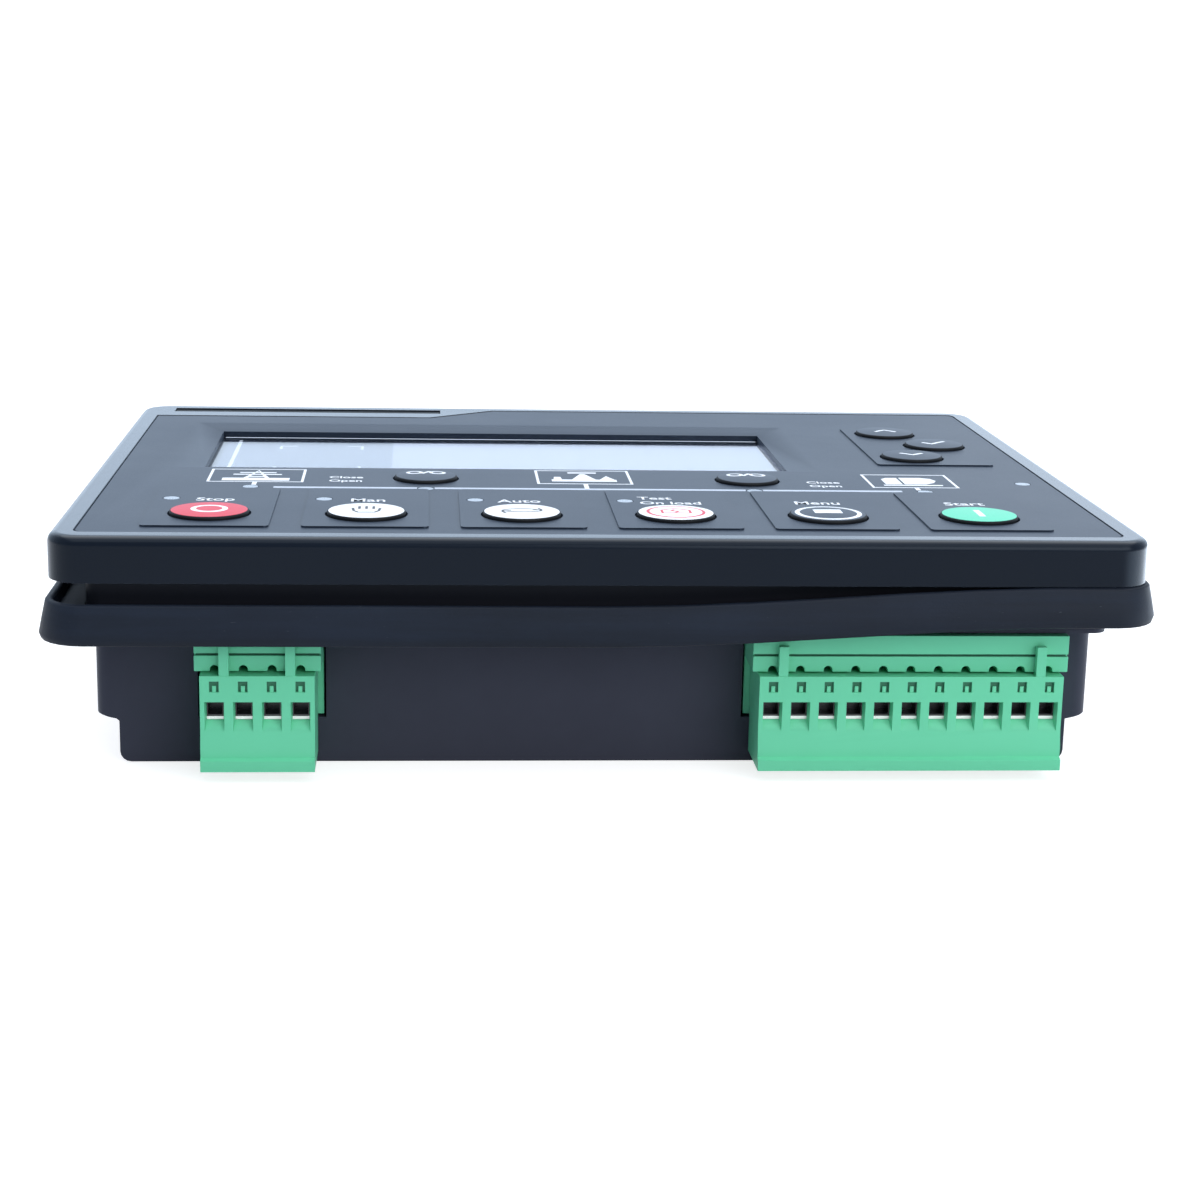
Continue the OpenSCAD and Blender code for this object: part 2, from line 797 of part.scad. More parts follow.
link_spots = [for (i = [0 : link_poles - 1], s = [-1, 1])
    link_spot + [(i - (link_poles - 1) / 2) * link_pitch, s * link_pitch / 2]];

module link_header() {
    color(gold) {
        block(link_spot, link_w, link_d, z_board_top, z_board_top + link_base);
        for (p = link_spots)
            block(p, link_pin, link_pin, z_board_top, z_board_top + link_base + link_reach);
    }
}

module link_socket() {
    color(case_black) difference() {
        block(link_spot, link_w, link_d, z_board_top + link_base, z_key_board - board_t);
        for (p = link_spots)
            block(p, link_hole, link_hole, z_board_top, z_board_top + link_base + link_reach + slide_gap);
    }
}

module relays() {
    color(relay_blue) for (i = [0 : relay_count - 1])
        translate([(i - (relay_count - 1) / 2) * relay_pitch, relay_y])
            plate(relay_size[0], relay_size[1], part_r, z_board - relay_size[2], z_board);
}

module capacitors() {
    color(sleeve_black) for (i = [0, 1], j = [0, 1])
        rod(cap_spot + cap_pitch * [i, j], cap_d, z_board - cap_h, z_board, $fn);
}

module control_chips() {
    color(inlay_black) for (c = chips) block([c[0], c[1]], c[2], c[3], z_board_top, z_board_top + chip_t);
}

module sense_transformers() {
    color(trafo_yellow) for (i = [0:2])
        translate(trafo_spot + [i * trafo_pitch, 0])
            plate(trafo_size[0], trafo_size[1], part_r, z_board - trafo_size[2], z_board);
}

// Header under the main board: a thick base, a front that reaches up to the gasket's lip,
// a back wall that holds the pins and a lower shroud
module header(poles, x) {
    w = poles * pitch;
    left = x - (w + header_w_extra) / 2;
    color(terminal_green) difference() {
        union() {
            translate([left, header_split_y, z_base])
                cube([w + header_w_extra, header_back_y - header_split_y, z_board - z_base]);
            translate([left, header_y, z_base])
                cube([w + header_w_extra, header_split_y - header_y + past, z_header_front - z_base]);
            translate([left, header_back_y - header_back_t, z_shroud])
                cube([w + header_w_extra, header_back_t, z_board - z_shroud]);
            translate([x - w / 2 + end_wall + slide_gap, shroud_y, z_shroud])
                cube([w - 2 * end_wall - 2 * slide_gap, header_back_y - shroud_y, shroud_t]);
        }
        for (p = pole_x(poles, x)) {
            translate([p, header_y - past, z_base + notch_lift])
                rotate([-90, 0, 0]) cylinder(r = notch_r, h = past + notch_len, $fn = small_fn);
            translate([p - notch_r, header_y - past, z_base - past])
                cube([2 * notch_r, past + notch_len, past + notch_lift]);
            translate([p - pin_hole / 2, header_back_y - header_back_t - past, z_pin - pin_hole / 2])
                cube([pin_hole, header_back_t + 2 * past, pin_hole]);
        }
        translate([x - w, header_y - past, z_board - groove_drop])
            cube([2 * w, past + groove_depth, groove_w]);
    }
}

// Bent pins: out of the back wall, then up through the board
module header_pins(poles, x) {
    color(tin) for (p = pole_x(poles, x)) {
        translate([p - pin_w / 2, pin_y, z_pin - pin_w / 2])
            cube([pin_w, pin_leg_y + pin_w - pin_y, pin_w]);
        translate([p - pin_w / 2, pin_leg_y, z_pin - pin_w / 2])
            cube([pin_w, pin_w, z_board_top + pin_tip - z_pin + pin_w / 2]);
    }
}

// Section of a plug across its depth, from the wire face to the nose in the header
module plug_section() {
    back = wall_y - plug_back_gap;
    polygon([
        [plug_y, z_plug_top], [nose_y, z_plug_top], [nose_y, z_nose], [back, z_nose], [back, z_plug],
        [plug_y - lip_out, z_plug], [plug_y - lip_out, z_plug_top - lip_drop],
        [plug_y - lip_out + lip_step, z_plug_top - lip_drop + groove_w],
        [plug_y - belly_out, z_plug_top - belly_drop], [plug_y, z_plug_top - band_drop]
    ]);
}

// Wire entry: a funnel from a wide mouth in the face down to the clamp
module wire_entry(x) {
    spread = (cage_front + past) / cage_front;
    half_out = entry_w / 2 + (mouth_w - entry_w) / 2 * spread;
    ramp = band_drop - entry_drop;
    z_top = z_entry + entry_h;
    front = [for (p = [[-1, 0], [1, 0], [1, 1], [-1, 1]])
        [x + p[0] * half_out, plug_y - past, p[1] == 0 ? z_entry - ramp * spread : z_top]];
    inner = [for (p = [[-1, 0], [1, 0], [1, 1], [-1, 1]])
        [x + p[0] * entry_w / 2, plug_y + cage_front, p[1] == 0 ? z_entry : z_top]];
    polyhedron(concat(front, inner),
        [[3, 2, 1, 0], [4, 5, 6, 7], [1, 5, 4, 0], [2, 6, 5, 1], [3, 7, 6, 2], [0, 4, 7, 3]]);
    translate([x - entry_w / 2, plug_y + cage_front - fit, z_entry]) cube([entry_w, 2 * fit, entry_h]);
}

// Cuts for one pole: marking window, wire entry, clamp chamber, pin socket and screw bore
module pole_cuts(x) {
    translate([x - mark_w / 2, plug_y - past, z_plug_top - mark_drop - mark_h])
        cube([mark_w, past + mark_depth, mark_h]);
    wire_entry(x);
    translate([x - cage_w / 2 - fit, plug_y + cage_front, cage_bottom_z - fit])
        cube([cage_w + 2 * fit, cage_len + 2 * fit, cage_top_z - cage_bottom_z + 2 * fit]);
    socket = pin_w + 2 * (leaf_gap + leaf_t + fit);
    translate([x - leaf_w / 2 - fit, cage_y, z_pin - socket / 2])
        cube([leaf_w + 2 * fit, nose_y - cage_y + past, socket]);
    rod([x, screw_y], wire_screw_d + 2 * fit, z_plug - past, cage_bottom_z);
    rod([x, screw_y], wire_head_d + 2 * fit, z_plug - past, z_plug + wire_head_sink + wire_head_h);
}

module plug(poles, x) {
    w = poles * pitch;
    color(terminal_green) {
        difference() {
            translate([x + w / 2, 0, 0])
                rotate([90, 0, -90]) linear_extrude(w) mirror([1, 0]) plug_section();
            for (p = pole_x(poles, x)) pole_cuts(p);
            translate([x - w / 2 + end_wall, shroud_y - slide_gap, z_shroud - slide_gap])
                cube([w - 2 * end_wall, header_depth, shroud_t + 2 * slide_gap]);
        }
        for (p = pole_x(poles, x))
            translate([p - bump_w / 2, plug_y + mark_depth - bump_t, z_plug_top - mark_drop - mark_h - fit])
                cube([bump_w, bump_t + fit, bump_h + fit]);
        for (s = [-1, 1])
            translate([x + s * (w / 2 - pitch / 2 - latch_in) - latch_w / 2,
                       header_y - slide_gap - latch_t, z_plug_top - past])
                cube([latch_w, latch_t, z_latch - z_plug_top + past]);
    }
}

// Clamp cages with two contact leaves that take the header pin between them
module plug_clamps(poles, x) {
    color(tin) for (p = pole_x(poles, x)) {
        difference() {
            translate([p - cage_w / 2, cage_y, cage_bottom_z])
                cube([cage_w, cage_len, cage_top_z - cage_bottom_z]);
            translate([p - cage_w / 2 + cage_wall, cage_y - past, z_entry + clamp_lip])
                cube([cage_w - 2 * cage_wall, cage_len + past - cage_wall,
                      cage_top_z - z_entry - clamp_lip - cage_wall]);
            translate([p - pin_hole / 2, cage_y, z_pin - pin_hole / 2])
                cube([pin_hole, cage_len + past, pin_hole]);
        }
        for (s = [-1, 1])
            translate([p - leaf_w / 2, cage_y + cage_len - cage_wall,
                       z_pin + s * (pin_w / 2 + leaf_gap + leaf_t / 2) - leaf_t / 2])
                cube([leaf_w, leaf_end - cage_y - cage_len + cage_wall, leaf_t]);
    }
}

module plug_screws(poles, x) {
    color(tin) for (p = pole_x(poles, x)) {
        rod([p, screw_y], wire_head_d, z_plug + wire_head_sink, z_plug + wire_head_sink + wire_head_h);
        rod([p, screw_y], wire_screw_d, z_plug + wire_head_sink + wire_head_h, cage_bottom_z);
    }
}

module left_header() { header(left_poles, left_x); }
module left_header_pins() { header_pins(left_poles, left_x); }
module left_plug() { plug(left_poles, left_x); }
module left_plug_clamps() { plug_clamps(left_poles, left_x); }
module left_plug_screws() { plug_screws(left_poles, left_x); }
module right_header() { header(right_poles, right_x); }
module right_header_pins() { header_pins(right_poles, right_x); }
module right_plug() { plug(right_poles, right_x); }
module right_plug_clamps() { plug_clamps(right_poles, right_x); }
module right_plug_screws() { plug_screws(right_poles, right_x); }

bezel();
nameplate_inlay();
front_overlay();
display_window();
lcd_glass();
lcd_frame();
key_stop();
key_manual();
key_auto();
key_test();
key_menu();
key_start();
key_mains_breaker();
key_gen_breaker();
key_up();
key_confirm();
key_down();
light_pipes();
status_leds();
contact_pads();
key_board();
key_board_screws();
panel_gasket();
rear_housing();
case_screws();
main_board();
board_screws();
link_header();
link_socket();
relays();
capacitors();
control_chips();
sense_transformers();
left_header();
left_header_pins();
left_plug();
left_plug_clamps();
left_plug_screws();
right_header();
right_header_pins();
right_plug();
right_plug_clamps();
right_plug_screws();
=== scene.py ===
"""Looks of the genset controller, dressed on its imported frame."""

import json
import math

import bmesh
import bpy
from mathutils import Matrix, Vector

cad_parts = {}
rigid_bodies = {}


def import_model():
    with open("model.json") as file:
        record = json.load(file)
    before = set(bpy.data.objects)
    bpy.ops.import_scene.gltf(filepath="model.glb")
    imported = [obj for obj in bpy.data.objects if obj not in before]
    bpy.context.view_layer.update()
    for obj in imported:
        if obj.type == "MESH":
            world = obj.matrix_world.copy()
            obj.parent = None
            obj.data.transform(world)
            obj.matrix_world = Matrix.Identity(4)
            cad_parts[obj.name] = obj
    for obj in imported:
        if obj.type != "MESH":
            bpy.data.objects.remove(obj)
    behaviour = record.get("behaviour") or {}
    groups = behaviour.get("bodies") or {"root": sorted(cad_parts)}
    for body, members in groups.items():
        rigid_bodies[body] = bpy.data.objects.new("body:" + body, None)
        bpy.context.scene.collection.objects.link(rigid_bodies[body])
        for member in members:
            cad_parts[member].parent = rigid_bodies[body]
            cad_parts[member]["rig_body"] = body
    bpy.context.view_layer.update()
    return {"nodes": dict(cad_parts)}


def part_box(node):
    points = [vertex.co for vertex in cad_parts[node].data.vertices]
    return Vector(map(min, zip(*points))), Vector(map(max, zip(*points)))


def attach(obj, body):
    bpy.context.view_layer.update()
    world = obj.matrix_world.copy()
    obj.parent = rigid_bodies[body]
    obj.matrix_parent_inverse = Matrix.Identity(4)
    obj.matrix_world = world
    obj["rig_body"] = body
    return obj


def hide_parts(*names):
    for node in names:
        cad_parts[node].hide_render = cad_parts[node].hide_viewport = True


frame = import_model()
nodes = frame["nodes"]

MM = 0.001
CASE = "controller"
SIDES = ("left", "right")
TILE_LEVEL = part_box("front_overlay")[1].z
TILE_RISE = 0.3 * MM
OVERLAY_LEVEL = TILE_LEVEL - TILE_RISE
INK = 0.03 * MM
MERGE = 1e-6
KEY_SET = 1.2 * MM
KEY_EDGE = 0.45 * MM
KEY_DOME = 0.2 * MM
DOME_STEP = 0.6
DOME_CUTS = 5
POLE_PITCH = 5.08


class Tap:
    """One socket of a finish's nodes. Arithmetic on it adds Math nodes."""

    def __init__(self, tree, socket=None):
        self.tree = tree
        self.socket = socket

    def node(self, kind, settings=None, inputs=None, output=0):
        """A new node: its settings first, then the values and links of its sockets."""
        made = self.tree.nodes.new("ShaderNode" + kind)
        for name, value in (settings or {}).items():
            setattr(made, name, value)
        for name, value in (inputs or {}).items():
            if isinstance(value, Tap):
                self.tree.links.new(value.socket, made.inputs[name])
            else:
                made.inputs[name].default_value = value
        return Tap(self.tree, made.outputs[output] if len(made.outputs) else None)

    def maths(self, operation, first, second=0.0, clamp=False):
        settings = {"operation": operation, "use_clamp": clamp}
        return self.node("Math", settings, {0: first, 1: second})

    def mixed(self, low, high):
        """A colour between low and high, by this value."""
        return self.node("Mix", {"data_type": "RGBA"}, {0: self, 6: low, 7: high}, 2)

    def above(self, edge, soft):
        """0 below the edge and 1 above it, with a soft step."""
        return self.maths("ADD", (self - edge) / soft, 0.5, clamp=True)

    def within(self, low, high, soft):
        """1 between two edges and 0 outside them, with soft steps."""
        return self.above(low, soft) * (1 - self.above(high, soft))

    def along(self, axis):
        """One coordinate of a place or a direction."""
        return self.node("SeparateXYZ", None, {"Vector": self}, axis)

    def __add__(self, other):
        return self.maths("ADD", self, other)

    def __sub__(self, other):
        return self.maths("SUBTRACT", self, other)

    def __mul__(self, other):
        return self.maths("MULTIPLY", self, other)

    def __truediv__(self, other):
        return self.maths("DIVIDE", self, other)

    def __radd__(self, other):
        return self.maths("ADD", other, self)

    def __rsub__(self, other):
        return self.maths("SUBTRACT", other, self)

    def __rmul__(self, other):
        return self.maths("MULTIPLY", other, self)

    def __rtruediv__(self, other):
        return self.maths("DIVIDE", other, self)


def colour(red, green, blue):
    return (red, green, blue, 1.0)


WHITE = colour(1, 1, 1)


def shade(base, factor):
    return (*(part * factor for part in base[:3]), 1.0)


def speckle(spot, size, detail, stretch=(1, 1, 1)):
    """Noise from 0 to 1 with features of about that size in millimetres."""
    where = spot.node("Mapping", None, {"Vector": spot, "Scale": stretch})
    made = {"Vector": where, "Scale": 1 / (size * MM), "Detail": detail, "Roughness": 0.6}
    return spot.node("TexNoise", None, made)


def relief(height, depth):
    """A surface raised by height times depth, in millimetres."""
    return height.node("Bump", None, {"Strength": 1.0, "Distance": depth * MM, "Height": height})


def finish(name, recipe, **fixed):
    """A material: recipe gives what varies over the surface, fixed what doesn't."""
    made = bpy.data.materials.new(name)
    made.use_nodes = True
    made.node_tree.nodes.clear()
    spot = Tap(made.node_tree).node("TexCoord", output="Object")
    inputs = {key.replace("_", " "): value for key, value in fixed.items()}
    inputs.update(recipe(spot))
    shader = spot.node("BsdfPrincipled", None, inputs)
    spot.node("OutputMaterial", None, {"Surface": shader})
    return made


def moulded(base, rough, grain, depth, mottle=0.15, smear=0.05):
    """Moulded plastic: spark-eroded grain, cloudy tone and slight smears."""

    def recipe(spot):
        cloud = speckle(spot, size=22, detail=4)
        pores = speckle(spot, grain, detail=3)
        flow = speckle(spot, size=9, detail=3, stretch=(0.25, 1, 1.6))
        return {
            "Base Color": cloud.mixed(shade(base, 1 - mottle), shade(base, 1 + mottle)),
            "Roughness": rough + (flow - 0.5) * smear + (pores - 0.5) * 0.1,
            "Normal": relief(pores, depth),
        }

    return recipe


def even(base, rough):
    """Moulded plastic of one tone, for small pieces and print."""
    return moulded(base, rough, grain=0.4, depth=0.004, mottle=0.06, smear=0.04)


def boxed(base, rough):
    """The box's moulded plastic, with painted shade on the collar behind the gasket."""
    plain = moulded(base, rough, grain=0.45, depth=0.006)
    collar_level, blend = 28 * MM, 1.0 * MM

    def recipe(spot):
        made = plain(spot)
        # Painted shade: the collar above this level is darkened to 0.3 of the box's tone.
        collar = spot.along("Z").above(collar_level, blend)
        made["Base Color"] = collar.mixed(made["Base Color"], shade(base, 0.3))
        return made

    return recipe


def rimmed(base, rough):
    """The bezel's moulded plastic, satin at the sides and polished on its flat front rim."""
    plain = moulded(base, rough, grain=0.35, depth=0.003)
    rim_level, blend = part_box("bezel")[1].z - 0.35 * MM, 0.4 * MM
    polish = 0.65

    def recipe(spot):
        made = plain(spot)
        made["Coat Weight"] = spot.along("Z").above(rim_level, blend) * polish
        return made

    return recipe


def film(base, rough):
    """Printed matte film: very fine even texture with a faint haze of handling."""

    def recipe(spot):
        haze = speckle(spot, size=30, detail=5)
        tooth = speckle(spot, size=0.22, detail=2)
        return {
            "Base Color": haze.mixed(shade(base, 0.9), shade(base, 1.12)),
            "Roughness": rough + (haze - 0.5) * 0.08 + (tooth - 0.5) * 0.1,
            "Normal": relief(tooth, 0.006),
        }

    return recipe


def rubber(base):
    """Soft black rubber: streaks along its length, lint and a dull bloom."""

    def recipe(spot):
        streak = speckle(spot, size=5, detail=4, stretch=(0.08, 0.3, 1.4))
        bloom = speckle(spot, size=14, detail=4)
        lint = speckle(spot, size=1.1, detail=2, stretch=(0.5, 1, 2)).above(0.76, 0.05)
        pits = speckle(spot, size=0.5, detail=3)
        worn = (streak * 0.7 + bloom * 0.3).above(0.5, 0.5)
        tone = worn.mixed(shade(base, 0.55), shade(base, 1.7))
        return {
            "Base Color": (lint * 0.2).mixed(tone, colour(0.12, 0.13, 0.15)),
            "Roughness": 0.52 + (streak - 0.5) * 0.2 + lint * 0.1,
            "Normal": relief(streak * 0.8 + pits * 0.2, 0.12),
        }

    return recipe


def metal(base, rough):
    """Plated metal with drawn scratches and dull patches."""

    def recipe(spot):
        scratch = speckle(spot, size=0.5, detail=3, stretch=(0.15, 1, 1))
        patch = speckle(spot, size=3, detail=3)
        return {
            "Base Color": patch.mixed(shade(base, 0.8), base),
            "Roughness": rough + (scratch - 0.5) * 0.25,
            "Normal": relief(scratch, 0.01),
        }

    return recipe


def laminate(base, rough):
    """Lacquered circuit board with the weave showing through and copper runs."""

    def recipe(spot):
        weave = speckle(spot, size=0.8, detail=1, stretch=(1, 0.2, 1))
        runs = speckle(spot, size=4, detail=2, stretch=(0.3, 1, 1)).above(0.55, 0.03)
        return {
            "Base Color": runs.mixed(base, shade(base, 1.7)),
            "Roughness": rough + (weave - 0.5) * 0.1,
            "Normal": relief(runs * 0.6 + weave * 0.4, 0.03),
        }

    return recipe


def display_face(spot):
    """Pale display glass: a dark border, a left third that is a little greyer, and a painted glow
    over it, weak in the left third.
    """
    left_edge, third, far_edge = -76.2 * MM, -39.5 * MM, 40.5 * MM
    blend = 0.4 * MM
    across, along = spot.along("X"), spot.along("Y")
    lit = across.above(third, blend)
    far = along.above(far_edge, blend)
    side = 1 - across.above(left_edge, blend)
    border = spot.maths("MAXIMUM", far, side)
    black = colour(0.006, 0.008, 0.012)
    field = lit.mixed(colour(0.15, 0.18, 0.25), colour(0.32, 0.34, 0.41))
    # Painted light: an emission glow, weak in the left third and stronger on the rest.
    glow = lit.mixed(colour(0.005, 0.01, 0.03), colour(0.11, 0.125, 0.22))
    cells = speckle(spot, size=0.3, detail=1)
    return {
        "Base Color": border.mixed(field, black),
        "Emission Color": border.mixed(glow, black),
        "Roughness": 0.35 + (cells - 0.5) * 0.02,
    }


def clamp_face(node):
    """Clamp cages of a plug: the lip in the wire entry is bright metal; the chamber behind it and
    the cage above it get painted shade.
    """
    low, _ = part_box(node)
    lip_depth, lip_height = 0.3 * MM, 0.95 * MM

    def recipe(spot):
        deep = spot.along("Y").above(low.y + lip_depth, 0.1 * MM)
        high = spot.along("Z").above(low.z + lip_height, 0.05 * MM)
        scratch = speckle(spot, size=0.4, detail=3, stretch=(0.15, 1, 1))
        # Painted shade: metal behind the lip or above it turns near black and loses its shine.
        dark = spot.maths("MAXIMUM", deep, high)
        return {
            "Base Color": dark.mixed(colour(0.88, 0.87, 0.84), colour(0.008, 0.008, 0.01)),
            "Roughness": 0.3 + (scratch - 0.5) * 0.25,
            "Metallic": 0.35 * (1 - dark),
        }

    return recipe


def terminal(node, base, front, low, high):
    """Terminal plastic, with painted shade that darkens a recess.

    The recess starts a depth of front behind the wire face and lies between low and high
    under the top. The skin keeps its shade off the end faces and the back.
    """
    plain = moulded(base, 0.44, grain=0.5, depth=0.004, mottle=0.05, smear=0.06)
    near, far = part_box(node)
    skin, blend = 0.3 * MM, 0.1 * MM

    def recipe(spot):
        made = plain(spot)
        across, depth, level = (spot.along(axis) for axis in "XYZ")
        recess = depth.within(near.y + front * MM, far.y - skin, blend)
        recess = recess * level.within(far.z - low * MM, far.z - high * MM, blend)
        recess = recess * across.within(near.x + skin, far.x - skin, blend)
        # Painted shade: the recess is darkened to a third of the green.
        made["Base Color"] = recess.mixed(made["Base Color"], shade(base, 0.32))
        return made

    return recipe


bezel_finish = finish(
    "case plastic, bezel",
    rimmed(colour(0.0015, 0.003, 0.008), 0.24),
    Specular_IOR_Level=0.16,
    Specular_Tint=colour(0.75, 0.88, 1.0),
    Coat_Roughness=0.2,
    Sheen_Weight=0.22,
    Sheen_Roughness=0.36,
    Sheen_Tint=colour(0.6, 0.78, 1.0),
)
case_finish = finish(
    "case plastic, box",
    boxed(colour(0.044, 0.047, 0.068), 0.42),
    Specular_IOR_Level=0.12,
    Specular_Tint=colour(0.82, 0.91, 1.0),
)
overlay_finish = finish(
    "overlay film",
    film(colour(0.0088, 0.0125, 0.021), 0.38),
    Specular_IOR_Level=0.33,
    Specular_Tint=colour(0.60, 0.76, 1.0),
    Sheen_Weight=0.08,
    Sheen_Roughness=0.45,
    Sheen_Tint=colour(0.45, 0.66, 1.0),
)
inlay_finish = finish("inlay", film(colour(0.006, 0.007, 0.009), 0.4), Specular_IOR_Level=0.07)
gasket_rubber = rubber(colour(0.006, 0.0095, 0.0175))
rubber_finish = finish("gasket rubber", gasket_rubber, Specular_IOR_Level=0.15)
clear_finish = finish(
    "clear window",
    lambda spot: {"Roughness": 0.02 + speckle(spot, size=6, detail=3) * 0.04},
    Base_Color=colour(0.97, 0.98, 1.0),
    Transmission_Weight=1.0,
    IOR=1.42,
)
glass_finish = finish("display glass", display_face, Emission_Strength=1.0)
frame_finish = finish("display frame", metal(colour(0.45, 0.45, 0.46), 0.35), Metallic=1.0)
pipe_finish = finish("light pipe", even(colour(0.34, 0.40, 0.48), 0.28))
led_finish = finish("light chip", even(colour(0.75, 0.74, 0.66), 0.5))
red_finish = finish("key red", even(colour(0.62, 0.025, 0.055), 0.36), Specular_IOR_Level=0.3)
white_finish = finish("key white", even(colour(0.80, 0.82, 0.85), 0.36))
green_finish = finish("key green", even(colour(0.075, 0.56, 0.36), 0.36), Specular_IOR_Level=0.3)
# Painted shade: the near-black sides of the keys stand for the shade in the gap round each key.
rim_shade_finish = finish("key rim", even(colour(0.004, 0.005, 0.007), 0.55), Specular_IOR_Level=0.15)
terminal_base = colour(0.15, 0.65, 0.385)
terminal_finishes = {}
# Each plug and header green carries painted shade in its recess.
for side in SIDES:
    for piece, front, low, high in (("plug", 1.9, 8.6, 6.4), ("header", 0.2, 3.95, 3.45)):
        recess_shade_recipe = terminal(f"{side}_{piece}", terminal_base, front, low, high)
        worn = finish(f"{side} {piece} green", recess_shade_recipe, Specular_IOR_Level=0.3)
        terminal_finishes[f"{side}_{piece}"] = worn
board_finish = finish("circuit board", laminate(colour(0.015, 0.12, 0.06), 0.35))
gold_finish = finish("contact gold", metal(colour(0.83, 0.62, 0.26), 0.3), Metallic=1.0)
tin_finish = finish("tinned metal", metal(colour(0.72, 0.71, 0.69), 0.32), Metallic=1.0)
left_clamp_finish = finish("left clamp metal", clamp_face("left_plug_clamps"))
right_clamp_finish = finish("right clamp metal", clamp_face("right_plug_clamps"))
zinc_finish = finish("zinc steel", metal(colour(0.62, 0.63, 0.65), 0.38), Metallic=1.0)
chip_finish = finish("component black", even(colour(0.012, 0.012, 0.013), 0.5))
relay_finish = finish("relay case", even(colour(0.02, 0.07, 0.24), 0.35))
sleeve_finish = finish("capacitor sleeve", even(colour(0.02, 0.02, 0.035), 0.3))
trafo_finish = finish("transformer case", even(colour(0.55, 0.42, 0.09), 0.45))
ink_finish = finish("white print", even(colour(0.78, 0.81, 0.86), 0.45))
dark_ink_finish = finish("dark print", even(colour(0.03, 0.034, 0.045), 0.45))
red_ink_finish = finish("red print", even(colour(0.60, 0.05, 0.09), 0.45))
pale_ink_finish = finish("pale print", even(colour(0.46, 0.51, 0.60), 0.45))
# Painted light: the display lines glow with an emission of their own.
glass_line_finish = finish(
    "display line",
    even(colour(0.6, 0.64, 0.7), 0.4),
    Emission_Color=colour(0.45, 0.5, 0.58),
    Emission_Strength=1.0,
)


def seated(mesh, name, body, slot, *finishes, smooth=32):
    """The object of a finished mesh, riding on a body."""
    for each in finishes:
        mesh.materials.append(each)
    mesh.set_sharp_from_angle(angle=math.radians(smooth))
    made = bpy.data.objects.new(name, mesh)
    bpy.context.scene.collection.objects.link(made)
    even_faces = made.modifiers.new("even faces", "WEIGHTED_NORMAL")
    even_faces.keep_sharp = True
    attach(made, body)
    return made


def made_piece(work, name, body, slot, *finishes):
    """The smooth object of a bmesh, riding on a body."""
    for face in work.faces:
        face.smooth = True
    mesh = bpy.data.meshes.new(name)
    work.to_mesh(mesh)
    work.free()
    return seated(mesh, name, body, slot, *finishes)


def joined_copy(node):
    """A CAD node's mesh with its corners merged and its flat faces joined."""
    work = bmesh.new()
    work.from_mesh(nodes[node].data)
    bmesh.ops.remove_doubles(work, verts=work.verts, dist=MERGE)
    bmesh.ops.dissolve_limit(
        work, angle_limit=math.radians(0.5), verts=work.verts, edges=work.edges
    )
    return work


def softened(node, name, slot, finish_used, edge):
    """A copy of a CAD node whose sharp edges have the small radius of a moulding."""
    sharp_turn = math.radians(40)
    work = joined_copy(node)
    sharp = [
        line
        for line in work.edges
        if len(line.link_faces) == 2 and line.calc_face_angle(0) > sharp_turn
    ]
    bmesh.ops.bevel(
        work, geom=sharp, offset=edge * MM, affect="EDGES", segments=2,
        profile=0.5, material=-1, clamp_overlap=True,
    )
    made = made_piece(work, name, nodes[node]["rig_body"], slot, finish_used)
    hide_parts(node)


def dome(out, inner, brow, crown):
    """The level of a key's face at a distance from its middle."""
    return brow + (crown - brow) * max(0.0, 1 - (out / inner) ** 2)


def spun_key(node, slot, face_finish):
    """A domed key cap, spun about its own axis: a coloured face in a near-black rim of painted
    shade.
    """
    low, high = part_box(node)
    middle = (low + high) / 2
    stem = 3 * MM
    flange = (high.x - low.x) / 2
    flange_low, flange_high = low.z + 1.5 * MM, low.z + 2.3 * MM
    reach = flange - KEY_SET
    inner = reach - KEY_EDGE
    crown = high.z
    brow = crown - KEY_DOME
    profile = [(0, low.z), (stem, low.z), (stem, flange_low), (flange, flange_low)]
    profile += [(flange, flange_high), (reach, flange_high)]
    for turn in (math.radians(degrees) for degrees in (0, 18, 36, 54, 72, 90)):
        out = inner + KEY_EDGE * math.cos(turn)
        profile.append((out, brow - KEY_EDGE * (1 - math.sin(turn))))
    for share in (0.975, 0.9, 0.75, 0.6, 0.45, 0.3, 0.15, 0):
        out = inner * share
        profile.append((out, dome(out, inner, brow, crown)))
    work = bmesh.new()
    spots = [work.verts.new((middle.x + out, middle.y, level)) for out, level in profile]
    for near, far in zip(spots, spots[1:]):
        work.edges.new((near, far))
    bmesh.ops.spin(
        work, geom=work.verts[:] + work.edges[:], cent=middle, axis=(0, 0, 1),
        angle=math.tau, steps=72, use_merge=True,
    )
    bmesh.ops.remove_doubles(work, verts=work.verts, dist=MERGE)
    bmesh.ops.recalc_face_normals(work, faces=work.faces)
    face_level = brow - 0.02 * MM
    for face in work.faces:
        # Faces below the face level take the rim's painted shade.
        face.material_index = 0 if face.calc_center_median().z > face_level else 1
    made = made_piece(work, node + "_cap", node, slot, face_finish, rim_shade_finish)
    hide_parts(node)


def laid_mesh(data, name):
    """The mesh of a curve or text object, which is then taken away."""
    carrier = bpy.data.objects.new(name, data)
    bpy.context.scene.collection.objects.link(carrier)
    ready = carrier.evaluated_get(bpy.context.evaluated_depsgraph_get())
    mesh = bpy.data.meshes.new_from_object(ready)
    bpy.data.objects.remove(carrier)
    return mesh


def printed(mesh, name, place, level, body, ink, key=None, slot="overlay_film"):
    """Lays a printed mesh on its surface, or over the dome of a key."""
    mesh.transform(Matrix.Translation((place[0] * MM, place[1] * MM, level)))
    if key:
        low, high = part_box(key)
        middle = (low + high) / 2
        inner = (high.x - low.x) / 2 - KEY_SET - KEY_EDGE
        for vert in mesh.vertices:
            out = math.hypot(vert.co.x - middle.x, vert.co.y - middle.y)
            vert.co.z += dome(out, inner, -KEY_DOME, 0)
    seated(mesh, name, body, slot, ink, smooth=40)


